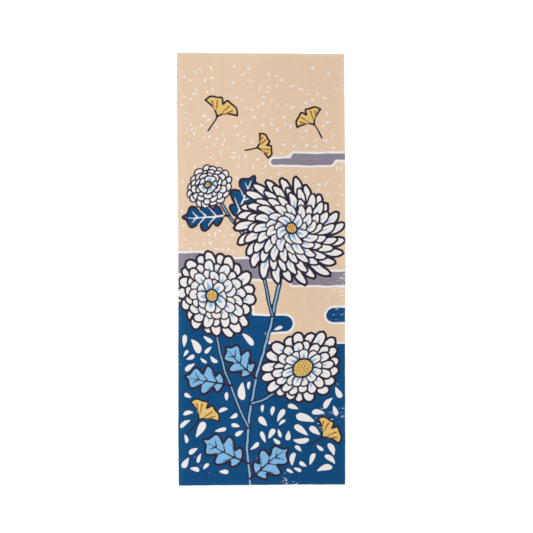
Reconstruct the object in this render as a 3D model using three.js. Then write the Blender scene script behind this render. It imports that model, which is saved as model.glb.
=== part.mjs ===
// A tenugui: one long rectangle of plain-weave cotton, lying face up on a flat surface.
// Millimetres, +Z up. The origin is on the surface, under the middle of the cloth. +Y runs along the
// length, towards the upper cut end, and +X runs across, towards the right selvedge.
import * as THREE from "three";

// Driving dimensions
const CLOTH = { width: 348, length: 900, thickness: 1.0 };
const SELVEDGE = { width: 6, taper: 0.5, extraThickness: 0.2 }; // the dense woven edge of a long side
const FOLD = {
  offset: 12, // the crest lies this far to the right of the middle
  crestRadius: 22, // how softly the crest is rounded, measured across
  restStrip: 26, // width of cloth that lies flat along each selvedge
  power: 1.1, // 1 is a straight tent, and more hollows the two slopes
};

// How the cloth lies, one row for each section from the lower cut end to the upper one.
// along is the share of the length, leftShift and rightShift move the two selvedges along X,
// and foldHeight is how far the soft lengthwise fold stands up there.
const SECTIONS = [
  { along: 0.0, leftShift: 2.3, rightShift: 0.6, foldHeight: 2.9 },
  { along: 0.06, leftShift: 1.7, rightShift: 0.9, foldHeight: 3.0 },
  { along: 0.23, leftShift: 1.3, rightShift: 0.7, foldHeight: 3.2 },
  { along: 0.42, leftShift: 1.5, rightShift: 0.7, foldHeight: 3.4 },
  { along: 0.56, leftShift: 1.2, rightShift: 1.2, foldHeight: 3.4 },
  { along: 0.67, leftShift: 0.4, rightShift: 0.7, foldHeight: 3.2 },
  { along: 0.78, leftShift: -0.7, rightShift: 0.2, foldHeight: 3.3 },
  { along: 0.9, leftShift: -1.7, rightShift: -1.0, foldHeight: 3.2 },
  { along: 1.0, leftShift: -1.5, rightShift: -1.4, foldHeight: 3.0 },
];

// How the two ends were cut, one row for each place from the left selvedge to the right one.
// lowerShift and upperShift move the cut lines along Y.
const CUTS = [
  { across: 0.0, lowerShift: -1.3, upperShift: 1.1 },
  { across: 0.25, lowerShift: -0.1, upperShift: 0.4 },
  { across: 0.5, lowerShift: 0.7, upperShift: -0.2 },
  { across: 0.75, lowerShift: 1.5, upperShift: -0.9 },
  { across: 1.0, lowerShift: 1.2, upperShift: -1.1 },
];

// Fineness of the mesh: cells between the rest strips, and cells along the length
const CELLS = { slopes: 22, along: 36 };

// A smooth line through one column of a table, read at a value of the table's key column.
function smoothColumn(table, key, column) {
  const keys = table.map((row) => row[key]);
  const values = table.map((row) => row[column]);
  const line = new THREE.CubicInterpolant(keys, values, 1);
  return (at) => line.evaluate(at)[0];
}

const leftShiftAt = smoothColumn(SECTIONS, "along", "leftShift");
const rightShiftAt = smoothColumn(SECTIONS, "along", "rightShift");
const foldHeightAt = smoothColumn(SECTIONS, "along", "foldHeight");
const lowerShiftAt = smoothColumn(CUTS, "across", "lowerShift");
const upperShiftAt = smoothColumn(CUTS, "across", "upperShift");

// Height of the underside above the surface, for cloth that lies x from the middle.
function foldLift(x, along) {
  const reach = CLOTH.width / 2 - FOLD.restStrip;
  const slopeWidth = x < FOLD.offset ? reach + FOLD.offset : reach - FOLD.offset;
  const fromCrest = Math.abs(x - FOLD.offset);
  if (fromCrest >= slopeWidth) return 0;
  const softened = Math.hypot(fromCrest, FOLD.crestRadius) - FOLD.crestRadius;
  const softenedReach = Math.hypot(slopeWidth, FOLD.crestRadius) - FOLD.crestRadius;
  return foldHeightAt(along) * (1 - softened / softenedReach) ** FOLD.power;
}

// Thickness of the cloth, a little more in the selvedges.
function thicknessAt(x) {
  const intoTaper = Math.abs(x) - (CLOTH.width / 2 - SELVEDGE.width - SELVEDGE.taper);
  const share = THREE.MathUtils.clamp(intoTaper / SELVEDGE.taper, 0, 1);
  return CLOTH.thickness + SELVEDGE.extraThickness * share;
}

// The lines across the cloth, as distances from its middle: the selvedges, the strips that lie
// flat, and the two slopes of the fold.
function linesAcross() {
  const edge = CLOTH.width / 2;
  const dense = edge - SELVEDGE.width;
  const field = dense - SELVEDGE.taper;
  const rest = edge - FOLD.restStrip;
  const lines = [-edge, -dense, -field];
  for (let i = 0; i <= CELLS.slopes; i++) {
    lines.push(-rest + (2 * rest * i) / CELLS.slopes);
  }
  lines.push(field, dense, edge);
  return lines;
}

// One point of the laid cloth: x from its middle and the share along it give a place on the surface.
function placeOf(x, along) {
  const across = x / CLOTH.width + 0.5;
  const shiftX = leftShiftAt(along) * (1 - across) + rightShiftAt(along) * across;
  const shiftY = lowerShiftAt(across) * (1 - along) + upperShiftAt(across) * along;
  return [x + shiftX, (along - 0.5) * CLOTH.length + shiftY];
}

// The closed sheet: an underside and a face over the same lines, joined round the rim.
function sheetGeometry() {
  const lines = linesAcross();
  const columns = lines.length;
  const rows = CELLS.along + 1;
  const places = [];
  for (const isFace of [false, true]) {
    for (let j = 0; j < rows; j++) {
      const along = j / CELLS.along;
      for (const x of lines) {
        const lift = foldLift(x, along) + (isFace ? thicknessAt(x) : 0);
        places.push(...placeOf(x, along), lift);
      }
    }
  }

  const under = (i, j) => j * columns + i;
  const face = (i, j) => rows * columns + under(i, j);
  const triangles = [];
  const quad = (a, b, c, d) => triangles.push(a, b, c, a, c, d);
  for (let j = 0; j < rows - 1; j++) {
    for (let i = 0; i < columns - 1; i++) {
      quad(face(i, j), face(i + 1, j), face(i + 1, j + 1), face(i, j + 1));
      quad(under(i, j), under(i, j + 1), under(i + 1, j + 1), under(i + 1, j));
    }
    quad(under(0, j), face(0, j), face(0, j + 1), under(0, j + 1));
    const right = columns - 1;
    quad(under(right, j), under(right, j + 1), face(right, j + 1), face(right, j));
  }
  for (let i = 0; i < columns - 1; i++) {
    const upper = rows - 1;
    quad(under(i, 0), under(i + 1, 0), face(i + 1, 0), face(i, 0));
    quad(under(i, upper), face(i, upper), face(i + 1, upper), under(i + 1, upper));
  }

  const geometry = new THREE.BufferGeometry();
  geometry.setAttribute("position", new THREE.Float32BufferAttribute(places, 3));
  geometry.setIndex(triangles);
  geometry.computeVertexNormals();
  return geometry;
}

// Centres the outline on the origin, so that the frame sits under the middle of the cloth.
function centred(geometry) {
  geometry.computeBoundingBox();
  const middle = geometry.boundingBox.getCenter(new THREE.Vector3());
  return geometry.translate(-middle.x, -middle.y, 0);
}

const printedCotton = new THREE.MeshStandardMaterial({
  name: "printed_cotton",
  color: 0xe4c6aa,
  roughness: 0.92,
  metalness: 0,
  side: THREE.FrontSide,
});

const cloth = new THREE.Mesh(centred(sheetGeometry()), printedCotton);
cloth.name = "towel_cloth";

const towel = new THREE.Group();
towel.name = "tenugui_towel";
towel.add(cloth);

export default towel;
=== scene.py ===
import math

import bpy
import numpy as np
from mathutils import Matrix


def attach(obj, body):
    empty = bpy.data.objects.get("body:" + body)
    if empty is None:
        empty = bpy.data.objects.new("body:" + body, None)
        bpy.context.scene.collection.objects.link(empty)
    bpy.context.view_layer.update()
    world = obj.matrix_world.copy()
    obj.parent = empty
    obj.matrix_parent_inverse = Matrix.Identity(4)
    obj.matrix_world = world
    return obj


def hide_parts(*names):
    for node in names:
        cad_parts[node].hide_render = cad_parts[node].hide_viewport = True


# A tenugui lying face up: one length of printed plain-weave cotton with a soft lengthwise fold.
# Tables and print are in millimetres, as a maker would measure them, and the meshes in metres.
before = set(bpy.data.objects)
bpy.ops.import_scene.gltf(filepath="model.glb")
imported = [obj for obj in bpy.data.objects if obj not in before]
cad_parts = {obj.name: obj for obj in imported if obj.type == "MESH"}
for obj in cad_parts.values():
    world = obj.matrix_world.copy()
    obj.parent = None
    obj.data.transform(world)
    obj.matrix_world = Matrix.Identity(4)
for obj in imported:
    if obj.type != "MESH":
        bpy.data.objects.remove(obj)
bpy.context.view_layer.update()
mm = 0.001
print("frame loaded:", sorted(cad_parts))


def linearColour(hexCode):
    parts = [int(hexCode[i:i + 2], 16) / 255 for i in (1, 3, 5)]
    linear = [c / 12.92 if c <= 0.04045 else ((c + 0.055) / 1.055) ** 2.4 for c in parts]
    return (*linear, 1.0)


def addNode(tree, kind, settings=(), links=()):
    # a setting or link goes to the node's own property, or else to the input of that name or number
    node = tree.nodes.new(kind)
    for name, value in dict(settings).items():
        if isinstance(name, str) and hasattr(node, name):
            setattr(node, name, value)
        else:
            node.inputs[name].default_value = value
    for name, source in dict(links).items():
        tree.links.new(source, node.inputs[name])
    return node


# The camera looks straight down on the printed face, as the photo does
photoView = {
    "framePixels": 533,
    "millimetresPerPixel": 2.0853,
    "towelMiddle": (261.12, 269.30),  # where the towel's middle lies in the photo, in pixels
    "lens": 100.0,  # lens and sensor in millimetres
    "sensor": 36.0,
}


def addCamera():
    pixels = photoView["framePixels"]
    pixel = photoView["millimetresPerPixel"] * mm
    right = pixels / 2 - photoView["towelMiddle"][0]
    down = pixels / 2 - photoView["towelMiddle"][1]
    data = bpy.data.cameras.new("photoCamera")
    data.lens = photoView["lens"]
    data.sensor_width = photoView["sensor"]
    camera = bpy.data.objects.new("photoCamera", data)
    bpy.context.scene.collection.objects.link(camera)
    distance = pixels * pixel * photoView["lens"] / photoView["sensor"]
    camera.location = (right * pixel, -down * pixel, distance)
    bpy.context.scene.camera = camera
    print("camera", round(distance, 3), "m above the cloth")


addCamera()

# The cloth. shift columns are how far the selvedges and the cut ends run out of true.
towelCloth = {
    "width": 348.0,
    "length": 900.0,
    "thickness": 0.4,
    "columns": 183,  # cells of the printed face, both divisible by underStep
    "rows": 471,
    "underStep": 3,  # the underside is this much coarser
    "crispAngle": 40,  # degrees, so that the rim of the sheet stays crisp
    "selvedgeWidth": 6.0,
    "selvedgeTaper": 1.0,
    "selvedgeExtra": 0.08,  # the dense woven edges are this much thicker
    "ripple": 0.35,  # how far the cloth stays off the surface here and there
    "slackWidth": 26.0,  # the ripple dies down over this width along the selvedges
    "slackLeast": 0.15,  # to this share of its height
    "edgeWobble": 0.35,  # how far the long sides and the cuts wander
    "edgeSpans": (6.3, 13.7, 31.0),  # in short and longer bends
    "edgeFade": 16.0,  # which die out this far in from the edge
}
lengthwiseFold = {
    "offset": 12.0,  # the crest lies this far to the right of the middle
    "crestRadius": 22.0,  # how softly the crest is rounded
    "restStrip": 6.0,  # width of cloth that lies flat along each selvedge
    "power": 1.1,  # 1 is a straight tent, and more hollows the two slopes
}
sections = (
    {"along": 0.00, "leftShift": 2.3, "rightShift": 1.1, "foldHeight": 2.9},
    {"along": 0.06, "leftShift": 1.7, "rightShift": 1.5, "foldHeight": 3.0},
    {"along": 0.23, "leftShift": 1.3, "rightShift": 1.2, "foldHeight": 3.2},
    {"along": 0.42, "leftShift": 1.5, "rightShift": 1.2, "foldHeight": 3.4},
    {"along": 0.56, "leftShift": 1.2, "rightShift": 2.0, "foldHeight": 3.4},
    {"along": 0.67, "leftShift": 0.4, "rightShift": 1.3, "foldHeight": 3.2},
    {"along": 0.78, "leftShift": -0.7, "rightShift": 0.9, "foldHeight": 3.3},
    {"along": 0.90, "leftShift": -1.7, "rightShift": -0.5, "foldHeight": 3.2},
    {"along": 1.00, "leftShift": -1.5, "rightShift": -1.0, "foldHeight": 3.0},
)
cutEnds = (
    {"across": 0.00, "lowerShift": -1.3, "upperShift": 1.1},
    {"across": 0.25, "lowerShift": -0.1, "upperShift": 0.4},
    {"across": 0.50, "lowerShift": 0.7, "upperShift": -0.2},
    {"across": 0.75, "lowerShift": 1.5, "upperShift": -0.9},
    {"across": 1.00, "lowerShift": 1.2, "upperShift": -1.1},
)


def smoothColumn(table, key, column, at):
    # a smooth line through one column of a table, read at values of its key column
    x = np.array([row[key] for row in table])
    y = np.array([row[column] for row in table])
    slope = np.gradient(y, x)
    i = np.clip(np.searchsorted(x, at) - 1, 0, len(x) - 2)
    span = x[i + 1] - x[i]
    t = (at - x[i]) / span
    start = y[i] * (1 + 2 * t) + slope[i] * span * t
    end = y[i + 1] * (3 - 2 * t) + slope[i + 1] * span * (t - 1)
    return start * (1 - t) ** 2 + end * t**2


def foldLift(x, along):
    # how far the soft fold lifts the cloth off the surface
    reach = towelCloth["width"] / 2 - lengthwiseFold["restStrip"]
    crest, soft = lengthwiseFold["offset"], lengthwiseFold["crestRadius"]
    slopeWidth = np.where(x < crest, reach + crest, reach - crest)
    fromCrest = np.minimum(np.abs(x - crest), slopeWidth)
    climbed = 1 - (np.hypot(fromCrest, soft) - soft) / (np.hypot(slopeWidth, soft) - soft)
    height = smoothColumn(sections, "along", "foldHeight", along)
    return height * climbed ** lengthwiseFold["power"]


# Soft rises of slack: the way each one runs, across and along, its span, and how a slower one bends it
softRises = (
    {"across": 1, "along": 0, "span": 31, "bend": 1.7, "bendSpan": 83, "bendStart": 0},
    {"across": 0, "along": 1, "span": 47, "bend": 1.2, "bendSpan": 57, "bendStart": 2},
    {"across": 1, "along": 1, "span": 71, "bend": 0.0, "bendSpan": 71, "bendStart": 0},
)


def ripple(x, y):
    # slack in the cloth, which lies close along the selvedges
    lift = 0
    for rise in softRises:
        ahead = rise["across"] * x + rise["along"] * y
        aside = rise["along"] * x + rise["across"] * y
        bend = rise["bend"] * np.sin(aside / rise["bendSpan"] + rise["bendStart"])
        lift = lift + 1 + np.sin(ahead / rise["span"] + bend)
    fromSelvedge = towelCloth["width"] / 2 - np.abs(x)
    slack = np.clip(fromSelvedge / towelCloth["slackWidth"], towelCloth["slackLeast"], 1)
    return towelCloth["ripple"] * slack * lift / (2 * len(softRises))


def wander(along, phase):
    # the pull of single yarns on an edge
    spans = towelCloth["edgeSpans"]
    bends = sum(np.sin(along / span + turn * phase) for turn, span in enumerate(spans, 1))
    return towelCloth["edgeWobble"] * bends / len(spans)


def laidPoints(x, along, height):
    # places of the flat cloth's points, as it lies
    across = x / towelCloth["width"] + 0.5
    left = smoothColumn(sections, "along", "leftShift", along)
    right = smoothColumn(sections, "along", "rightShift", along)
    lower = smoothColumn(cutEnds, "across", "lowerShift", across)
    upper = smoothColumn(cutEnds, "across", "upperShift", across)
    flatY = (along - 0.5) * towelCloth["length"]
    fromSelvedge = towelCloth["width"] / 2 - np.abs(x)
    fromCut = towelCloth["length"] / 2 - np.abs(flatY)
    nearSelvedge = np.clip(1 - fromSelvedge / towelCloth["edgeFade"], 0, 1)
    nearCut = np.clip(1 - fromCut / towelCloth["edgeFade"], 0, 1)
    placeX = x + left * (1 - across) + right * across + nearSelvedge * wander(flatY, np.sign(x))
    placeY = flatY + lower * (1 - along) + upper * along + nearCut * wander(x, 2 * np.sign(flatY))
    dense = np.clip((towelCloth["selvedgeWidth"] - fromSelvedge) / towelCloth["selvedgeTaper"], 0, 1)
    height = height * (1 + dense * towelCloth["selvedgeExtra"] / towelCloth["thickness"])
    return np.stack([placeX, placeY, foldLift(x, along) + ripple(x, flatY) + height], axis=-1)


# The print is drawn flat, in millimetres from the middle of the cloth, and each dye keeps a field
# of distances to its own edge: negative inside, so that the edge stays sharp between the points.
dyeNames = ("sand", "grey", "sky", "deepBlue", "ochre", "brown", "ink")  # in the order of printing
edgeReach = 6.0  # distances are kept only this near to an edge
drawMargin = edgeReach + 3.0  # and worked out this far round a shape or stroke
overprint = 1.7  # a later dye is printed this far over the earlier ones beside it
printSeed = 23
printLines = {
    "bold": 5.0,  # outlines of the large blooms and of leaves
    "plain": 4.0,  # outlines of other petals
    "fine": 3.1,  # inner petals and veins
}
stencilWander = {"slow": 0.6, "quick": 0.35}  # how far a hand-cut stencil strays


def startPrint(across, along):
    u, v = np.meshgrid(across, along)
    slow, quick = stencilWander["slow"], stencilWander["quick"]
    # the knife strays over spans of a few centimetres, and trembles over shorter ones
    wanderU = slow * np.sin(v / 13 + 1.1 * np.sin(u / 31)) + quick * np.sin(v / 5.3 + u / 9)
    wanderV = slow * np.sin(u / 15 + 1.3 * np.sin(v / 27)) + quick * np.sin(u / 6.1 - v / 8)
    fields = {name: np.full(u.shape, edgeReach) for name in dyeNames}
    return {"across": across, "along": along, "u": u + wanderU, "v": v + wanderV, "dyes": fields}


def nearPoints(sheet, points, reach):
    # the part of the print that lies within reach of some points
    low = points.min(axis=0) - reach
    high = points.max(axis=0) + reach
    columns = slice(*np.searchsorted(sheet["across"], (low[0], high[0])))
    rows = slice(*np.searchsorted(sheet["along"], (low[1], high[1])))
    return rows, columns


def layDye(sheet, dye, distance, place=(slice(None), slice(None)), spread=0.0):
    # what is laid takes the place of what was there, and dye None leaves bare cotton
    order = dyeNames.index(dye) if dye else -1
    for i, name in enumerate(dyeNames):
        part = sheet["dyes"][name][place]
        if i == order:
            np.minimum(part, distance - spread, out=part)
        else:
            np.maximum(part, -distance - (overprint if i < order else 0), out=part)


def fromStretch(u, v, start, end):
    # how far along a straight stretch each place lies, as a share, and how far from it
    ax, ay = start
    ex, ey = end - start
    squared = ex * ex + ey * ey + 1e-9  # so that two points may lie in one place
    share = np.clip(((u - ax) * ex + (v - ay) * ey) / squared, 0, 1)
    return share, np.sqrt((u - ax - ex * share) ** 2 + (v - ay - ey * share) ** 2)


def shapeDistance(u, v, points):
    # distance from a closed outline, negative inside
    nearest = np.full(u.shape, np.inf)
    inside = np.zeros(u.shape, bool)
    for start, end in zip(points, np.roll(points, -1, axis=0)):
        nearest = np.minimum(nearest, fromStretch(u, v, start, end)[1])
        (ax, ay), (bx, by) = start, end
        if ay != by:
            inside ^= ((ay > v) != (by > v)) & (u < ax + (bx - ax) * (v - ay) / (by - ay))
    return np.where(inside, -nearest, nearest)


def drawShape(sheet, dye, points, line=0.0):
    points = np.asarray(points, float)
    place = nearPoints(sheet, points, drawMargin)
    u, v = sheet["u"][place], sheet["v"][place]
    if u.size == 0:
        return
    distance = shapeDistance(u, v, points)
    layDye(sheet, dye, distance, place)
    if line:
        layDye(sheet, "ink", np.abs(distance) - line / 2, place)


def drawStroke(sheet, dye, points, widths, spread=0.0):
    points = np.asarray(points, float)
    halves = np.interp(np.linspace(0, 1, len(points)), np.linspace(0, 1, len(widths)), widths) / 2
    place = nearPoints(sheet, points, drawMargin + halves.max())
    u, v = sheet["u"][place], sheet["v"][place]
    if u.size == 0:
        return
    distance = np.full(u.shape, np.inf)
    for i in range(len(points) - 1):
        share, away = fromStretch(u, v, points[i], points[i + 1])
        half = halves[i] + (halves[i + 1] - halves[i]) * share
        distance = np.minimum(distance, away - half)
    layDye(sheet, dye, distance, place, spread)


def placed(points, at, turn, squash=1.0, lean=0.0):
    # turns a shape, then presses it together along the direction lean, and moves it into place
    points = np.asarray(points, float)
    c, s = math.cos(turn), math.sin(turn)
    turned = points @ np.array([[c, s], [-s, c]])
    axis = np.array([math.cos(lean), math.sin(lean)])
    pressed = turned - np.outer(turned @ axis, axis) * (1 - squash)
    return pressed + np.asarray(at, float)


def petalShape(length, halfWidth, root=0.0, bend=0.0, foot=0.45, shoulder=0.68, hook=2, steps=18):
    # a petal along the first axis: foot is how wide its root is, shoulder where its round tip
    # starts, and hook how late it bends
    share = np.linspace(0, 1, steps)
    swell = np.where(
        share < shoulder,
        foot + (1 - foot) * np.sin(np.pi / 2 * np.minimum(share / shoulder, 1)),
        np.sqrt(1 - np.clip((share - shoulder) / (1 - shoulder), 0, 1) ** 2),
    )
    x = root + (length - root) * share
    middle = bend * length * share**hook
    upper = np.column_stack([x, middle + halfWidth * swell])
    lower = np.column_stack([x, middle - halfWidth * swell])[::-1]
    return np.vstack([upper, lower[1:]])


# Three kinds of chrysanthemum, each a few rings of petals from the outside in. reach and root are
# shares of the bloom's radius, width is 1 where petals just touch, and nod moves the ring's middle.
bloomKinds = {
    "pompon": {
        "heart": 0.15, "hook": 2, "shoulder": 0.68, "shade": (0.30, 0.72),
        "rings": (
            {"petals": 21, "reach": 1.00, "root": 0.40, "width": 1.14, "bend": 0.06, "nod": 0.00},
            {"petals": 19, "reach": 0.80, "root": 0.30, "width": 1.16, "bend": -0.06, "nod": 0.03},
            {"petals": 15, "reach": 0.60, "root": 0.20, "width": 1.18, "bend": 0.08, "nod": 0.06},
            {"petals": 10, "reach": 0.40, "root": 0.08, "width": 1.22, "bend": -0.10, "nod": 0.09},
        ),
    },
    "curled": {
        "heart": 0.10, "hook": 3, "shoulder": 0.78, "shade": (0.16, 0.80),
        "rings": (
            {"petals": 25, "reach": 1.00, "root": 0.30, "width": 0.86, "bend": 0.15, "nod": 0.00},
            {"petals": 23, "reach": 0.83, "root": 0.22, "width": 0.88, "bend": 0.17, "nod": 0.02},
            {"petals": 19, "reach": 0.66, "root": 0.16, "width": 0.92, "bend": 0.20, "nod": 0.04},
            {"petals": 14, "reach": 0.48, "root": 0.10, "width": 0.98, "bend": 0.24, "nod": 0.06},
            {"petals": 9, "reach": 0.30, "root": 0.04, "width": 1.06, "bend": 0.30, "nod": 0.08},
        ),
    },
    "open": {
        "heart": 0.25, "hook": 2, "shoulder": 0.74, "shade": (0.30, 0.74),
        "rings": (
            {"petals": 19, "reach": 1.00, "root": 0.24, "width": 1.02, "bend": 0.03, "nod": 0.00},
            {"petals": 17, "reach": 0.76, "root": 0.20, "width": 1.04, "bend": -0.04, "nod": 0.02},
            {"petals": 13, "reach": 0.52, "root": 0.12, "width": 1.08, "bend": 0.04, "nod": 0.04},
        ),
    },
}

# The blooms, from the back of the spray to its front. lean is the way a bloom nods, and press how
# much that shortens it.
blooms = (
    {"kind": "pompon", "at": (-108, 172), "radius": 50, "lean": 130, "press": 0.86, "turn": 12},
    {"kind": "open", "at": (84, -204), "radius": 88, "lean": -60, "press": 0.84, "turn": 3},
    {"kind": "pompon", "at": (-96, -52), "radius": 92, "lean": 205, "press": 0.86, "turn": 8},
    {"kind": "curled", "at": (56, 78), "radius": 118, "lean": 50, "press": 0.90, "turn": 0},
)
bloomForm = {
    "smallRadius": 60,  # smaller blooms and rings have finer lines
    "fewerPetals": 5,  # and smaller blooms have this many petals less in a ring
    "widest": 0.84,  # share of their reach at which petals of width 1 touch
    "lengths": (-0.08, 0.06),  # how much petals vary in length
    "straying": 0.35,  # and in direction, as a share of half their spacing
    "shadeWidth": 0.9,  # the blue in a petal, as a share of half its width
    "shadeTip": 0.6,
    "seed": 3.0,  # size of a seed in the heart
    "seedSpacing": 3.4,
    "seedMargin": 3.2,
    "seedTurn": 2.4,  # radians from one seed to the next, which fills the heart evenly
}


def drawBloom(sheet, bloom, chance):
    kind = bloomKinds[bloom["kind"]]
    lean = math.radians(bloom["lean"])
    nodding = np.array([math.cos(lean), math.sin(lean)])
    radius, press = bloom["radius"], bloom["press"]
    small = radius < bloomForm["smallRadius"]
    straying = bloomForm["straying"]
    for ring in kind["rings"]:
        at = np.array(bloom["at"], float) + radius * ring["nod"] * nodding
        petals = ring["petals"] - (bloomForm["fewerPetals"] if small else 0)
        reach, root = radius * ring["reach"], radius * ring["root"]
        halfWidth = math.pi * reach * bloomForm["widest"] / petals * ring["width"]
        fine = small or reach < bloomForm["smallRadius"]
        line = printLines["fine" if fine else "bold" if reach == radius else "plain"]
        lengths = reach * (1 + chance.uniform(*bloomForm["lengths"], petals))
        turns = math.radians(bloom["turn"]) + 2 * np.pi * np.arange(petals) / petals
        turns = turns + chance.uniform(-straying, straying, petals) * math.pi / petals
        for k in [*range(0, petals, 2), *range(1, petals, 2)]:
            shape = petalShape(
                lengths[k], halfWidth, root, ring["bend"], shoulder=kind["shoulder"], hook=kind["hook"]
            )
            drawShape(sheet, None, placed(shape, at, turns[k], press, lean), line)
            share = np.linspace(*kind["shade"], 7)
            outwards = root + (lengths[k] - root) * share
            aside = ring["bend"] * lengths[k] * share ** kind["hook"]
            spine = placed(np.column_stack([outwards, aside]), at, turns[k], press, lean)
            drawStroke(sheet, "sky", spine, (halfWidth * bloomForm["shadeWidth"], bloomForm["shadeTip"]))

    # the heart sits in the innermost ring
    disc = kind["heart"] * radius
    angles = np.linspace(0, 2 * np.pi, 28, endpoint=False)
    circle = disc * np.column_stack([np.cos(angles), np.sin(angles)])
    drawShape(sheet, "ochre", placed(circle, at, 0, press, lean), printLines["plain"])
    seeds = int((disc / bloomForm["seedSpacing"]) ** 2)
    for k in range(seeds):
        angle = k * bloomForm["seedTurn"]
        out = (disc - bloomForm["seedMargin"]) * math.sqrt((k + 0.5) / seeds)
        spot = placed([(out * math.cos(angle), out * math.sin(angle))], at, 0, press, lean)
        drawStroke(sheet, "brown", np.vstack([spot, spot + 0.1]), (bloomForm["seed"],))  # a short dab


# The spray's stems, from the ground up, and the leaves along them: share is how far up the stem a
# leaf grows, side the side it grows to.
stems = {
    "main": {"points": ((-22, -470), (-30, -360), (-14, -240), (20, -110), (56, 78)), "width": 7.0},
    "left": {"points": ((-29, -330), (-62, -250), (-90, -160), (-96, -52)), "width": 6.0},
    "right": {"points": ((-20, -280), (20, -262), (84, -204)), "width": 6.0},
    "high": {"points": ((22, -96), (-8, 20), (-62, 104), (-108, 172)), "width": 5.4},
}
leaves = (
    {"stem": "main", "share": 0.10, "side": 1, "length": 88, "dye": "sky"},
    {"stem": "main", "share": 0.16, "side": -1, "length": 92, "dye": "sky"},
    {"stem": "left", "share": 0.40, "side": -1, "length": 84, "dye": "sky"},
    {"stem": "main", "share": 0.56, "side": -1, "length": 80, "dye": "sky"},
    {"stem": "high", "share": 0.66, "side": 1, "length": 92, "dye": "deepBlue"},
    {"stem": "high", "share": 0.74, "side": -1, "length": 84, "dye": "deepBlue"},
)


def smoothRoute(points, steps=10):
    points = np.asarray(points, float)
    ends = np.vstack([2 * points[0] - points[1], points, 2 * points[-1] - points[-2]])
    share = np.linspace(0, 1, steps, endpoint=False)[:, None]
    route = [
        b + 0.5 * share * (c - a + share * (2 * a - 5 * b + 4 * c - d + share * (3 * b - a - 3 * c + d)))
        for a, b, c, d in zip(ends, ends[1:], ends[2:], ends[3:])
    ]
    return np.vstack([*route, points[-1:]])


leafForm = {
    "lobes": 3,
    "halfWidth": 0.36,  # this and the next lines up to the veins are shares of the leaf's length
    "notch": 0.28,
    "sweep": 0.05,
    "stalk": 0.16,
    "rib": 0.86,
    "ribBow": 0.03,
    "veins": ({"root": 0.16, "reach": 0.34}, {"root": 0.42, "reach": 0.32}, {"root": 0.64, "reach": 0.20}),
    "veinSlope": (0.62, 0.66),  # along the rib and away from it
    "angle": 58,  # degrees between stem and leaf
    "stalkWidth": 4.4,
    "veinTip": 1.6,
    "ribTip": 1.8,
}


def leafShape(length):
    share = np.linspace(0, 1, 46)
    lobes = 2 * np.pi * leafForm["lobes"] * share
    outline = np.sin(np.pi * share**0.8) ** 0.62  # blunt, and widest below its middle
    notch = 1 - leafForm["notch"] * (1 - np.cos(lobes - 0.6 * np.pi))
    sweep = leafForm["sweep"] * np.sin(lobes - 0.3 * np.pi) * np.sin(np.pi * share)
    x = length * (share + sweep)
    y = leafForm["halfWidth"] * length * outline * notch
    return np.vstack([np.column_stack([x, y]), np.column_stack([x, -y])[::-1][1:-1]])


def drawLeaf(sheet, leaf):
    route = smoothRoute(stems[leaf["stem"]]["points"])
    spot = int(leaf["share"] * (len(route) - 2))
    heading = route[spot + 1] - route[spot]
    turn = math.atan2(heading[1], heading[0]) - leaf["side"] * math.radians(leafForm["angle"])
    length = leaf["length"]
    foot = route[spot]
    at = foot + leafForm["stalk"] * length * np.array([math.cos(turn), math.sin(turn)])
    drawStroke(sheet, "ink", np.array([foot, at]), (leafForm["stalkWidth"],))
    drawShape(sheet, leaf["dye"], placed(leafShape(length), at, turn), printLines["bold"])
    veinDye = None if leaf["dye"] == "deepBlue" else "ink"  # bare on the dark leaves
    veinWidths = (printLines["fine"], leafForm["veinTip"])
    onwards, aside = leafForm["veinSlope"]
    for vein in leafForm["veins"]:
        for side in (1, -1):
            root = np.array([vein["root"] * length, 0])
            tip = root + vein["reach"] * length * np.array([onwards, aside * side])
            drawStroke(sheet, veinDye, placed([root, tip], at, turn), veinWidths)
    along = np.linspace(0, leafForm["rib"] * length, 8)
    rib = np.column_stack([along, leafForm["ribBow"] * length * np.sin(3 * along / length)])
    drawStroke(sheet, veinDye, placed(rib, at, turn), (printLines["plain"], leafForm["ribTip"]))


def drawStem(sheet, stem):
    route = smoothRoute(stem["points"])
    drawStroke(sheet, "ink", route, (stem["width"] + printLines["fine"],))
    drawStroke(sheet, "sky", route, (stem["width"] - printLines["fine"],), overprint)


# Fan-shaped leaves that drift down
fans = (
    {"at": (-92, 316), "turn": 64, "size": 46},
    {"at": (112, 300), "turn": 128, "size": 40},
    {"at": (-10, 252), "turn": 18, "size": 34},
    {"at": (-132, -316), "turn": 56, "size": 46},
    {"at": (122, -352), "turn": 40, "size": 44},
)
fanForm = {
    "spread": 58,  # degrees to each side of the middle
    "shoulder": 0.93,  # this and the next lines up to the rays are shares of the leaf's size
    "rim": 0.96,
    "scallop": 0.035,
    "cleft": 0.30,
    "stalk": 0.72,
    "stalkBow": 0.10,
    "raySpan": (0.34, 0.78),
    "rays": (-40, -22, 22, 40),  # degrees
    "hollow": 0.45,  # 1 is straight sides, and less hollows them near the stalk
    "scallops": 9,
    "cleftWidth": 0.09,  # radians
    "stalkInside": 2.0,
    "rayWidths": (2.0, 3.4),
    "stalkWidths": (3.2, 3.6),
}


def fanShape(size):
    spread = math.radians(fanForm["spread"])
    side = np.linspace(0.06, 1, 12)
    angles = spread * side ** fanForm["hollow"]
    out = fanForm["shoulder"] * size * side
    right = np.column_stack([out * np.cos(angles), out * np.sin(angles)])
    sweep = np.linspace(spread, -spread, 41)[1:-1]
    cleft = fanForm["cleft"] * np.exp(-((sweep / fanForm["cleftWidth"]) ** 2))
    scallops = fanForm["scallop"] * np.cos(sweep * fanForm["scallops"])
    rim = size * (fanForm["rim"] + scallops - cleft)
    edge = np.column_stack([rim * np.cos(sweep), rim * np.sin(sweep)])
    left = (right * [1, -1])[::-1]
    return np.vstack([right, edge, left])


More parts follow.
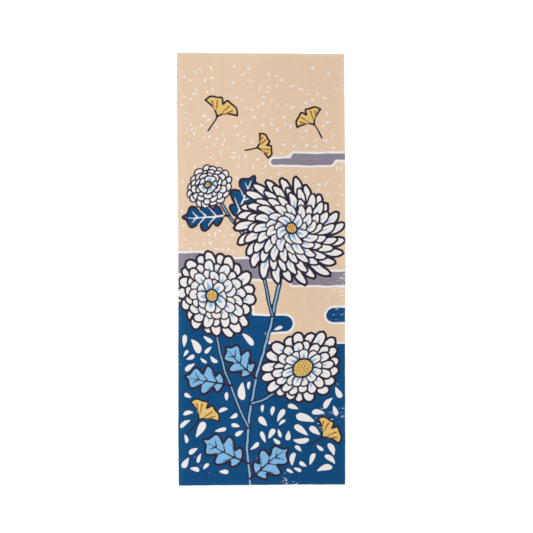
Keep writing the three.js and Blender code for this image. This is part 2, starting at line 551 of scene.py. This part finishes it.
def drawFan(sheet, fan):
    turn = math.radians(fan["turn"])
    size = fan["size"]
    share = np.linspace(0, 1, 8)
    inside = fanForm["stalkInside"]
    down = inside - (inside + fanForm["stalk"] * size) * share
    stalk = np.column_stack([down, fanForm["stalkBow"] * size * share**2])
    drawStroke(sheet, "ink", placed(stalk, fan["at"], turn), fanForm["stalkWidths"])
    drawShape(sheet, "ochre", placed(fanShape(size), fan["at"], turn), printLines["plain"])
    ray = np.array([(size * end, 0) for end in fanForm["raySpan"]])
    for degrees in fanForm["rays"]:
        drawn = placed(ray, fan["at"], turn + math.radians(degrees))
        drawStroke(sheet, "brown", drawn, fanForm["rayWidths"])


# Bars of mist with round ends, each with its height on the cloth, its thickness and its two ends
mistBars = {
    "grey": (
        {"v": 26, "thick": 15, "from": -230, "to": -112},
        {"v": 13, "thick": 15, "from": -230, "to": -20},
        {"v": 0, "thick": 15, "from": -230, "to": 120},
        {"v": -13, "thick": 15, "from": -60, "to": 230},
        {"v": -26, "thick": 15, "from": 60, "to": 230},
        {"v": 235, "thick": 13, "from": 64, "to": 230},
        {"v": 224, "thick": 13, "from": 20, "to": 150},
    ),
    "deepBlue": (
        {"v": -84, "thick": 34, "from": -230, "to": -20},
        {"v": -114, "thick": 34, "from": -230, "to": 64},
        {"v": -146, "thick": 36, "from": -230, "to": 10},
        {"v": -176, "thick": 40, "from": -230, "to": 230},
        {"v": -96, "thick": 30, "from": 134, "to": 230},
        {"v": -330, "thick": 300, "from": -330, "to": 330},
    ),
}
mistEdges = {"fillet": 9.0, "bareRim": 4.5}  # how bars run into each other, and the bare line round them


def barsDistance(sheet, bars):
    fillet = mistEdges["fillet"]
    joined = np.full(sheet["u"].shape, np.inf)
    for bar in bars:
        half = bar["thick"] / 2
        centre = np.clip(sheet["u"], bar["from"] + half, bar["to"] - half)
        distance = np.hypot(sheet["u"] - centre, sheet["v"] - bar["v"]) - half
        overlap = np.maximum(fillet - np.abs(joined - distance), 0) / fillet
        joined = np.minimum(joined, distance) - overlap**2 * fillet / 4
    return joined


def drawMist(sheet):
    for dye, bars in mistBars.items():
        distance = barsDistance(sheet, bars)
        layDye(sheet, None, distance - mistEdges["bareRim"])
        layDye(sheet, dye, distance)


# Loose petals: small ones drifting over the sand, larger ones lying on the blue. low and high are
# heights on the cloth, and thin is how many are left at the highest.
loosePetals = {
    "drifting": {
        "ground": "sand", "count": 150, "low": 30, "high": 430, "lengths": (6, 11), "thin": 0.2,
    },
    "fallen": {
        "ground": "deepBlue", "count": 90, "low": -430, "high": -112, "lengths": (16, 40), "thin": 1.0,
    },
}
petalForm = {
    "selvedgeMargin": 4.0,  # all of them lie this far inside the selvedges and the cut ends
    "cutMargin": 22.0,
    "clearance": 0.7 * edgeReach,  # and this far inside their ground
    "halfWidths": (0.18, 0.26),  # shares of a petal's length
    "bend": 0.3,
    "foot": 0.12,
    "shoulder": 0.7,
    "tries": 5000,
}


def drawLoosePetals(sheet, kind, chance):
    # each lies wholly on its ground, clear of everything else that is printed
    ground = sheet["dyes"][kind["ground"]]
    limitAcross = sheet["across"][-1] - petalForm["selvedgeMargin"]
    limitAlong = sheet["along"][-1] - petalForm["cutMargin"]
    bend = petalForm["bend"]
    laid = 0
    for _ in range(petalForm["tries"]):
        if laid == kind["count"]:
            break
        at = (chance.uniform(-limitAcross, limitAcross), chance.uniform(kind["low"], kind["high"]))
        length = chance.uniform(*kind["lengths"])
        halfWidth = length * chance.uniform(*petalForm["halfWidths"])
        shape = petalShape(
            length, halfWidth, 0, chance.uniform(-bend, bend), petalForm["foot"], petalForm["shoulder"]
        )
        shape = placed(shape, at, chance.uniform(0, 2 * math.pi))
        depth = (kind["high"] - at[1]) / (kind["high"] - kind["low"])
        if chance.uniform() > kind["thin"] + (1 - kind["thin"]) * depth:
            continue
        columns = np.searchsorted(sheet["across"][:-1], shape[:, 0])
        rows = np.searchsorted(sheet["along"][:-1], shape[:, 1])
        onGround = ground[rows, columns].max() <= -petalForm["clearance"]
        if not onGround or (np.abs(shape) > (limitAcross, limitAlong)).any():
            continue
        laid += 1
        drawShape(sheet, None, shape)


def drawPrint(across, along):
    chance = np.random.default_rng(printSeed)
    sheet = startPrint(across, along)
    layDye(sheet, "sand", np.full(sheet["u"].shape, -edgeReach))
    drawMist(sheet)
    for fan in fans:
        drawFan(sheet, fan)
    for stem in stems.values():
        drawStem(sheet, stem)
    for leaf in leaves:
        drawLeaf(sheet, leaf)
    for bloom in blooms:
        drawBloom(sheet, bloom, chance)
    for kind in loosePetals.values():
        drawLoosePetals(sheet, kind, chance)
    return sheet["dyes"]


# Plain-weave cotton, dyed through stencils and washed: dry and matte, with dye edges that creep a
# little along the yarns, thick and thin yarns that show as faint streaks, and a denser selvedge.
# Sizes are in millimetres.
printedCotton = {
    "bare": "#e3dedc",
    "sand": "#dabfa4",
    "grey": "#867f8c",
    "sky": "#79aed7",
    "deepBlue": "#0a4675",
    "ochre": "#d9b86d",
    "brown": "#935e32",
    "ink": "#2b2536",
    "softEdge": 0.45,  # half the width over which a dye fades out
    "creep": 0.40,  # how far dye strays past the stencil's edge
    "creepGrain": 2.4,  # and from one such place to the next
    "paleBelow": 0.45,  # how much of the dye is lost on its way through to the underside
    "thinDyes": ("sand", "grey", "deepBlue"),  # the grounds, which print thin in patches
    "patches": 120.0,  # size of such a patch
    "patchLevels": (0.45, 0.70),  # noise at its rim and in its middle
    "fleckWidth": 11.0,  # bare flecks in the patches
    "fleckHeight": 4.0,
    "fleckLevels": (0.76, 0.55),  # noise above which a fleck is bare, at a patch's rim and in its middle
    "fleckEdge": 0.05,
    "fleckDye": 0.12,  # share of the dye that is left in a fleck
    "wearAndPaintedLight": {"left": 0.13, "right": 0.06, "cut": 0.07},  # share of the dye lost at the edges; the left edge's larger share is painted light from the lamp on the left
    "edgeWidth": 15.0,
    "paintedSlopeLight": {"left": 0.014, "right": -0.012},  # painted light and shade: the fold's left slope is painted lighter and its right slope darker, as the lamp on the left would light them
    "selvedgeCords": (4.4, 8.8),  # two thicker yarns run along the selvedge, this far from its edge
    "cordWidth": 1.3,
    "cordWear": (0.8, 1.4),  # share of the edge's wear between the cords and on them
    "unevenness": (  # how far lighter and darker places reach across and along
        {"across": 2.2, "along": 90.0, "strength": 0.006},  # thick and thin lengthwise yarns
        {"across": 54.0, "along": 2.2, "strength": 0.004},  # thick and thin crosswise yarns
        {"across": 9.0, "along": 260.0, "strength": 0.005},  # bands of tighter and looser warp
        {"across": 160.0, "along": 6.0, "strength": 0.004},  # bands of tighter and looser weft
        {"across": 16.0, "along": 16.0, "strength": 0.005},  # mottled dye
        {"across": 1.3, "along": 1.3, "strength": 0.008},  # single crossings of the yarns
    ),
    "uptake": 3.0,  # how much more dye the darker places hold
    "yarnPitch": 0.9,  # real yarns lie 0.45 mm apart, too fine to show, so they are drawn coarser
    "yarnWander": 0.5,  # and they stray this far from straight lines
    "yarnWanderGrain": 7.0,
    "weaveRelief": 0.12,
    "weaveStrength": 0.35,
    "slubRelief": 14.0,  # how much more thick yarns stand out
    "roughness": (0.85, 0.95),  # on the crowns of the yarns and in the hollows
    "ior": 1.5,
    "specular": 0.1,
    "sheen": 0.04,
    "sheenRoughness": 0.5,
}
noiseSpan = {"From Min": 0.25, "From Max": 0.75}  # where nearly all values of a noise lie


def soakedThrough(field, step, softEdge):
    # on the underside the dye has soft edges, spread over its coarser cells
    covered = np.clip(0.5 - field / (2 * softEdge), 0, 1)
    rows, columns = field.shape
    for _ in range(step):
        padded = np.pad(covered, 1, mode="edge")
        around = [padded[j:j + rows, i:i + columns] for j in range(3) for i in range(3)]
        covered = np.mean(around, axis=0)
    return softEdge * (1 - 2 * covered[::step, ::step])


def wearAndPaintedLight(x, along):
    # how much of the dye has gone towards each edge, with the left edge painted lighter than the right,
    # plus painted light and shade on the two sides of the fold
    wearAndLight, width = printedCotton["wearAndPaintedLight"], printedCotton["edgeWidth"]
    fromSelvedge = towelCloth["width"] / 2 - np.abs(x)
    fromCut = towelCloth["length"] * np.minimum(along, 1 - along)
    between, on = printedCotton["cordWear"]
    cords = between
    for cord in printedCotton["selvedgeCords"]:
        fromCord = (fromSelvedge - cord) / printedCotton["cordWidth"]
        cords = cords + (on - between) * np.exp(-(fromCord**2))
    side = np.where(x < 0, wearAndLight["left"], wearAndLight["right"]) * np.clip(1 - fromSelvedge / width, 0, 1) * cords
    cut = wearAndLight["cut"] * np.clip(1 - fromCut / width, 0, 1)
    # painted light and shade on the fold's two slopes: lighter left of the crest, darker right of it
    fromCrest = x - lengthwiseFold["offset"]
    towardsRight = 0.5 + 0.5 * fromCrest / np.hypot(fromCrest, lengthwiseFold["crestRadius"])
    half = printedCotton["paintedSlopeLight"]
    paintedSlopeLight = half["left"] + (half["right"] - half["left"]) * towardsRight
    return paintedSlopeLight + np.maximum(side, cut)


def addDyeCreep(tree, place):
    # dye creeping along the yarns, but not below, where it has only soaked through
    noise = addNode(
        tree, "ShaderNodeTexNoise",
        {"Scale": 1 / (printedCotton["creepGrain"] * mm), "Detail": 2.0, "Roughness": 0.6},
        {"Vector": place},
    )
    creep = addNode(
        tree, "ShaderNodeMapRange",
        {**noiseSpan, "To Min": -printedCotton["creep"], "To Max": printedCotton["creep"]},
        {"Value": noise.outputs["Fac"]},
    )
    printedSide = addNode(tree, "ShaderNodeAttribute", {"attribute_name": "printedSide"})
    faceCreep = addNode(
        tree, "ShaderNodeMath", {"operation": "MULTIPLY"},
        {0: creep.outputs["Result"], 1: printedSide.outputs["Fac"]},
    )
    return faceCreep.outputs["Value"]


def addThinPatches(tree, place):
    # share of the dye that is left where the stencil printed thin, in patches broken up into flecks
    rim, middle = printedCotton["patchLevels"]
    rimFlecks, middleFlecks = printedCotton["fleckLevels"]
    patches = addNode(
        tree, "ShaderNodeTexNoise", {"Scale": 1 / (printedCotton["patches"] * mm), "Detail": 2.0},
        {"Vector": place},
    )
    fleckSize = (1 / (printedCotton["fleckWidth"] * mm), 1 / (printedCotton["fleckHeight"] * mm), 1.0)
    fleckPlace = addNode(tree, "ShaderNodeMapping", {"Scale": fleckSize}, {"Vector": place})
    flecks = addNode(
        tree, "ShaderNodeTexNoise", {"Scale": 1.0, "Detail": 4.0, "Roughness": 0.62},
        {"Vector": fleckPlace.outputs["Vector"]},
    )
    fleckLevel = addNode(
        tree, "ShaderNodeMapRange",
        {"From Min": rim, "From Max": middle, "To Min": rimFlecks, "To Max": middleFlecks},
        {"Value": patches.outputs["Fac"]},
    )
    overLevel = addNode(
        tree, "ShaderNodeMath", {"operation": "SUBTRACT"},
        {0: flecks.outputs["Fac"], 1: fleckLevel.outputs["Result"]},
    )
    dyeLeft = addNode(
        tree, "ShaderNodeMapRange",
        {
            "From Min": 0.0, "From Max": printedCotton["fleckEdge"],
            "To Min": 1.0, "To Max": printedCotton["fleckDye"],
        },
        {"Value": overLevel.outputs["Value"]},
    )
    return dyeLeft.outputs["Result"]


def addDyes(tree, creep, dyeLeft):
    # one dye over another on bare cotton
    softEdge = printedCotton["softEdge"]
    colour = None
    for name in dyeNames:
        edge = addNode(tree, "ShaderNodeAttribute", {"attribute_name": name + "Dye"})
        crept = addNode(tree, "ShaderNodeMath", {"operation": "ADD"}, {0: edge.outputs["Fac"], 1: creep})
        soaked = addNode(
            tree, "ShaderNodeMapRange", {"From Min": softEdge, "From Max": -softEdge},
            {"Value": crept.outputs["Value"]},
        )
        amount = soaked.outputs["Result"]
        if name in printedCotton["thinDyes"]:
            thinned = addNode(tree, "ShaderNodeMath", {"operation": "MULTIPLY"}, {0: amount, 1: dyeLeft})
            amount = thinned.outputs["Value"]
        bare, dye = linearColour(printedCotton["bare"]), linearColour(printedCotton[name])
        below = {6: colour} if colour else {}
        mixed = addNode(  # inputs 6 and 7 and output 2 are the colours
            tree, "ShaderNodeMix", {"data_type": "RGBA", 6: bare, 7: dye}, {0: amount, **below}
        )
        colour = mixed.outputs[2]
    return colour


def addUnevenness(tree, place):
    # uneven yarns: long faint streaks both ways, and slow mottling of the dye
    strength = None
    for patch in printedCotton["unevenness"]:
        size = (1 / (patch["across"] * mm), 1 / (patch["along"] * mm), 1.0)
        stretched = addNode(tree, "ShaderNodeMapping", {"Scale": size}, {"Vector": place})
        noise = addNode(
            tree, "ShaderNodeTexNoise", {"Scale": 1.0, "Detail": 2.0, "Roughness": 0.55},
            {"Vector": stretched.outputs["Vector"]},
        )
        tone = addNode(
            tree, "ShaderNodeMapRange",
            {**noiseSpan, "To Min": 1 - patch["strength"], "To Max": 1 + patch["strength"]},
            {"Value": noise.outputs["Fac"]},
        ).outputs["Result"]
        if strength:
            both = addNode(tree, "ShaderNodeMath", {"operation": "MULTIPLY"}, {0: strength, 1: tone})
            tone = both.outputs["Value"]
        strength = tone
    return strength


def addCrossings(tree, place):
    # over and under of the yarns, which are not quite evenly spaced
    straying = addNode(
        tree, "ShaderNodeTexNoise", {"Scale": 1 / (printedCotton["yarnWanderGrain"] * mm), "Detail": 2.0},
        {"Vector": place},
    )
    farthest = (printedCotton["yarnWander"] * mm,) * 3
    strayed = addNode(
        tree, "ShaderNodeVectorMath", {"operation": "MULTIPLY_ADD", 1: farthest},
        {0: straying.outputs["Color"], 2: place},
    )
    axes = addNode(tree, "ShaderNodeSeparateXYZ", {}, {0: strayed.outputs["Vector"]})
    halfTurn = math.pi / (printedCotton["yarnPitch"] * mm)
    yarns = []
    for axis in ("X", "Y"):
        turns = addNode(
            tree, "ShaderNodeMath", {"operation": "MULTIPLY", 1: halfTurn}, {0: axes.outputs[axis]}
        )
        yarns.append(addNode(tree, "ShaderNodeMath", {"operation": "SINE"}, {0: turns.outputs["Value"]}))
    crossing = addNode(
        tree, "ShaderNodeMath", {"operation": "MULTIPLY"},
        {0: yarns[0].outputs["Value"], 1: yarns[1].outputs["Value"]},
    )
    return crossing.outputs["Value"]


def addPrintedCotton():
    material = bpy.data.materials.new("printed plain-weave cotton")
    material.use_nodes = True
    tree = material.node_tree
    tree.nodes.clear()
    place = addNode(tree, "ShaderNodeTexCoord").outputs["Object"]
    colour = addDyes(tree, addDyeCreep(tree, place), addThinPatches(tree, place))
    strength = addUnevenness(tree, place)
    crossing = addCrossings(tree, place)

    # where there is less dye, at the edges and in lighter yarns, and where light is painted on the left
    # edge and the fold's left slope, a gamma below 1 lightens dark dyes most; painted shade on the right
    # slope darkens them a little
    uptake = printedCotton["uptake"]
    wearAndLight = addNode(tree, "ShaderNodeAttribute", {"attribute_name": "wearAndPaintedLight"})
    left = addNode(
        tree, "ShaderNodeMath", {"operation": "SUBTRACT", 0: 1.0 + uptake}, {1: wearAndLight.outputs["Fac"]}
    )
    held = addNode(
        tree, "ShaderNodeMath", {"operation": "MULTIPLY_ADD", 1: -uptake},
        {0: strength, 2: left.outputs["Value"]},
    )
    worn = addNode(tree, "ShaderNodeGamma", {}, {"Color": colour, "Gamma": held.outputs["Value"]})
    toned = addNode(
        tree, "ShaderNodeVectorMath", {"operation": "SCALE"},
        {0: worn.outputs["Color"], "Scale": strength},
    )

    # thick yarns stand out, and the crowns are rubbed a little smoother than the hollows
    slubs = addNode(
        tree, "ShaderNodeMath", {"operation": "MULTIPLY_ADD", 1: printedCotton["slubRelief"]},
        {0: strength, 2: crossing},
    )
    weave = addNode(
        tree, "ShaderNodeBump",
        {"Strength": printedCotton["weaveStrength"], "Distance": printedCotton["weaveRelief"] * mm},
        {"Height": slubs.outputs["Value"]},
    )
    crowns, hollows = printedCotton["roughness"]
    rubbed = addNode(
        tree, "ShaderNodeMapRange",
        {"From Min": -1.0, "From Max": 1.0, "To Min": hollows, "To Max": crowns}, {"Value": crossing},
    )
    cotton = addNode(
        tree, "ShaderNodeBsdfPrincipled",
        {
            "IOR": printedCotton["ior"], "Specular IOR Level": printedCotton["specular"],
            "Sheen Weight": printedCotton["sheen"], "Sheen Roughness": printedCotton["sheenRoughness"],
        },
        {
            "Base Color": toned.outputs["Vector"], "Roughness": rubbed.outputs["Result"],
            "Normal": weave.outputs["Normal"],
        },
    )
    addNode(tree, "ShaderNodeOutputMaterial", {}, {"Surface": cotton.outputs["BSDF"]})
    return material


def keepValues(mesh, name, values):
    # one number for each point, which the material reads
    layer = mesh.attributes.new(name, "FLOAT", "POINT")
    layer.data.foreach_set("value", np.asarray(values, np.float32))


# Ends of the lengthwise yarns, which stand out of the two cuts because there is no hem
yarnEnds = {
    "pitch": 0.9,  # real yarns lie 0.45 mm apart, and about every second one stands out
    "jitter": (0.2, 0.8),  # where in its pitch an end may stand
    "thickness": 0.30,
    "lengths": (0.15, 1.3),
    "sway": 0.35,
    "droop": 0.1,
    "rootDepth": 0.3,  # no end starts further inside the cloth
    "sides": 5,
    "rings": (  # from just inside the cloth to a thin tip
        {"share": -0.4, "girth": 0.9},
        {"share": 0.0, "girth": 1.0},
        {"share": 0.5, "girth": 0.85},
        {"share": 1.0, "girth": 0.35},
    ),
    "seed": 7,
}


def yarnEndFaces(first, outwards):
    sides, last = yarnEnds["sides"], len(yarnEnds["rings"]) - 1
    faces = []
    for low in range(first, first + last * sides, sides):
        for k in range(sides):
            after = (k + 1) % sides
            faces.append([low + k, low + after, low + sides + after, low + sides + k])
    root = list(range(first, first + sides))
    tip = list(range(first + last * sides, first + (last + 1) * sides))
    faces += [root[::-1], tip]
    return faces if outwards < 0 else [face[::-1] for face in faces]


def addYarnEnds(centre, dyes):
    chance = np.random.default_rng(yarnEnds["seed"])
    width, sides = towelCloth["width"], yarnEnds["sides"]
    count = int(width / yarnEnds["pitch"])
    shortest, longest = yarnEnds["lengths"]
    angle = 2 * np.pi * np.arange(sides) / sides
    circle = np.column_stack([np.cos(angle), np.zeros(sides), np.sin(angle)]) * yarnEnds["thickness"] / 2
    points, faces, columns, rows = [], [], [], []
    for along, outwards in ((0.0, -1), (1.0, 1)):
        spots = (np.arange(count) + chance.uniform(*yarnEnds["jitter"], count)) / count
        lengths = shortest + (longest - shortest) * chance.uniform(0, 1, count) ** 2
        sways = chance.uniform(-1, 1, count) * yarnEnds["sway"]
        halfway = towelCloth["thickness"] / 2
        roots = laidPoints((spots - 0.5) * width, np.full(count, along), halfway) - centre
        for spot, length, sway, root in zip(spots, lengths, sways, roots):
            faces += yarnEndFaces(len(points), outwards)
            for ring in yarnEnds["rings"]:
                out = max(ring["share"] * length, -yarnEnds["rootDepth"])
                bent = max(ring["share"], 0)
                step = (sway * bent**2, outwards * out, -yarnEnds["droop"] * bent)
                points.extend(root + step + circle * ring["girth"])
                columns += [round(spot * towelCloth["columns"])] * sides
                rows += [round(along * towelCloth["rows"])] * sides
    mesh = bpy.data.meshes.new("yarnEnds")
    mesh.from_pydata((np.array(points) * mm).tolist(), [], faces)
    mesh.polygons.foreach_set("use_smooth", np.ones(len(mesh.polygons), bool))
    for name, field in dyes.items():
        keepValues(mesh, name + "Dye", field[rows, columns])
    keepValues(mesh, "wearAndPaintedLight", np.full(len(points), printedCotton["wearAndPaintedLight"]["cut"]))
    keepValues(mesh, "printedSide", np.ones(len(points)))
    ends = bpy.data.objects.new("towel_yarn_ends", mesh)
    bpy.context.scene.collection.objects.link(ends)
    print("cut ends have", 2 * count, "yarn ends")
    return ends


def gridFaces(columns, rows, first, upwards):
    corner = first + np.arange(rows)[:, None] * (columns + 1) + np.arange(columns)
    ring = [corner, corner + 1, corner + columns + 2, corner + columns + 1]
    return np.stack(ring if upwards else ring[::-1], axis=-1).reshape(-1, 4)


def rimLine(columns, rows, first):
    # vertex numbers round a grid's edge, counter-clockwise seen from above
    lower = np.arange(columns)
    right = np.arange(rows) * (columns + 1) + columns
    upper = rows * (columns + 1) + np.arange(columns, 0, -1)
    left = np.arange(rows, 0, -1) * (columns + 1)
    return first + np.concatenate([lower, right, upper, left])


def addCloth():
    columns, rows, step = towelCloth["columns"], towelCloth["rows"], towelCloth["underStep"]
    across = np.linspace(-0.5, 0.5, columns + 1) * towelCloth["width"]
    along = np.linspace(0, 1, rows + 1)
    x, share = np.meshgrid(across, along)
    face = laidPoints(x, share, towelCloth["thickness"]).reshape(-1, 3)
    under = laidPoints(x, share, 0.0)[::step, ::step].reshape(-1, 3)
    middle = (face.max(axis=0) + face.min(axis=0)) / 2
    centre = np.array([middle[0], middle[1], 0])
    points = np.vstack([face, under]) - centre

    first = len(face)
    underColumns, underRows = columns // step, rows // step
    faces = gridFaces(columns, rows, 0, True).tolist()
    faces += gridFaces(underColumns, underRows, first, False).tolist()
    faceRim, underRim = rimLine(columns, rows, 0), rimLine(underColumns, underRows, first)
    faceRim = np.append(faceRim, faceRim[0])
    underRim = np.append(underRim, underRim[0])
    for i in range(len(underRim) - 1):
        faces.append([underRim[i], underRim[i + 1], *faceRim[i * step:(i + 1) * step + 1][::-1]])

    mesh = bpy.data.meshes.new("towelCloth")
    mesh.from_pydata((points * mm).tolist(), [], faces)
    mesh.polygons.foreach_set("use_smooth", np.ones(len(mesh.polygons), bool))
    mesh.set_sharp_from_angle(angle=math.radians(towelCloth["crispAngle"]))
    print("cloth has", len(mesh.polygons), "faces")

    dyes = drawPrint(across, (along - 0.5) * towelCloth["length"])
    for name, field in dyes.items():
        below = soakedThrough(field, step, printedCotton["softEdge"])
        keepValues(mesh, name + "Dye", np.append(field, below))
    # dye lost towards the edges, with painted light on the left edge and the fold's left slope, and
    # painted shade on its right slope
    wearAndLight = wearAndPaintedLight(x, share)
    wearAndLightBelow = np.maximum(wearAndLight[::step, ::step], printedCotton["paleBelow"])
    keepValues(mesh, "wearAndPaintedLight", np.append(wearAndLight, wearAndLightBelow))
    keepValues(mesh, "printedSide", np.arange(len(points)) < first)
    print("print drawn with", len(dyes), "dyes")

    cloth = bpy.data.objects.new("towel_sheet", mesh)
    bpy.context.scene.collection.objects.link(cloth)
    return cloth, addYarnEnds(centre, dyes)


cloth, ends = addCloth()
cotton = addPrintedCotton()
for piece in (cloth, ends):
    piece.data.materials.append(cotton)
    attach(piece, "root")
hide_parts("towel_cloth")
print("printed cotton on the cloth")

# A plain white studio: soft light all round, a soft lamp overhead and a broad one low on the left.
# The floor is a matte acrylic sheet lit from below: an even white that takes only a faint shadow.
studio = {
    "floor": "#898989",  # unlit
    "floorRoughness": 0.95,
    "floorGlow": 0.86,
    "floorSize": 120.0,  # metres, so that no edge of it shows
    "floorDrop": 0.05,  # millimetres below the cloth
    "backdrop": "#ffffff",
    "skyLight": 0.16,  # the backdrop is white to look at, and gives less light than it seems to
    "overhead": 50.0,  # watts
    "overheadPlace": (-0.1, 0.02, 1.9),  # metres
    "overheadSize": 0.3,
    "lamp": 3.35,  # strength of a sun
    "lampHeight": 34.0,  # degrees above the floor
    "lampSide": 182.0,  # degrees round from +X, so it stands on the left
    "lampSoftness": 34.0,  # degrees across
}


def addFloor():
    half = studio["floorSize"] / 2
    corners = [(-half, -half), (half, -half), (half, half), (-half, half)]
    mesh = bpy.data.meshes.new("studioFloor")
    mesh.from_pydata([(*corner, -studio["floorDrop"] * mm) for corner in corners], [], [(0, 1, 2, 3)])
    floor = bpy.data.objects.new("studio_floor", mesh)
    bpy.context.scene.collection.objects.link(floor)
    acrylic = bpy.data.materials.new("backlit white acrylic")
    acrylic.use_nodes = True
    shader = acrylic.node_tree.nodes["Principled BSDF"]
    shader.inputs["Base Color"].default_value = linearColour(studio["floor"])
    shader.inputs["Roughness"].default_value = studio["floorRoughness"]
    shader.inputs["Specular IOR Level"].default_value = 0.0
    shader.inputs["Emission Color"].default_value = linearColour(studio["backdrop"])
    shader.inputs["Emission Strength"].default_value = studio["floorGlow"]
    mesh.materials.append(acrylic)


def addBackdrop():
    world = bpy.data.worlds.new("studio light")
    world.use_nodes = True
    tree = world.node_tree
    tree.nodes.clear()
    white = linearColour(studio["backdrop"])
    path = addNode(tree, "ShaderNodeLightPath")
    glow = addNode(tree, "ShaderNodeBackground", {"Color": white, "Strength": studio["skyLight"]})
    seen = addNode(tree, "ShaderNodeBackground", {"Color": white, "Strength": 1.0})
    both = addNode(
        tree, "ShaderNodeMixShader", {},
        {0: path.outputs["Is Camera Ray"], 1: glow.outputs["Background"], 2: seen.outputs["Background"]},
    )
    addNode(tree, "ShaderNodeOutputWorld", {}, {"Surface": both.outputs["Shader"]})
    bpy.context.scene.world = world


def addLamps():
    broadData = bpy.data.lights.new("broadLamp", "SUN")
    broadData.energy = studio["lamp"]
    broadData.angle = math.radians(studio["lampSoftness"])
    broad = bpy.data.objects.new("broadLamp", broadData)
    broad.rotation_euler = (0, math.radians(90 - studio["lampHeight"]), math.radians(studio["lampSide"]))
    bpy.context.scene.collection.objects.link(broad)

    overheadData = bpy.data.lights.new("overheadLamp", "POINT")
    overheadData.energy = studio["overhead"]
    overheadData.shadow_soft_size = studio["overheadSize"]
    overhead = bpy.data.objects.new("overheadLamp", overheadData)
    overhead.location = studio["overheadPlace"]
    overhead.visible_camera = False
    bpy.context.scene.collection.objects.link(overhead)


addFloor()
addBackdrop()
addLamps()
bpy.context.scene.view_settings.view_transform = "Standard"
print("studio lit")
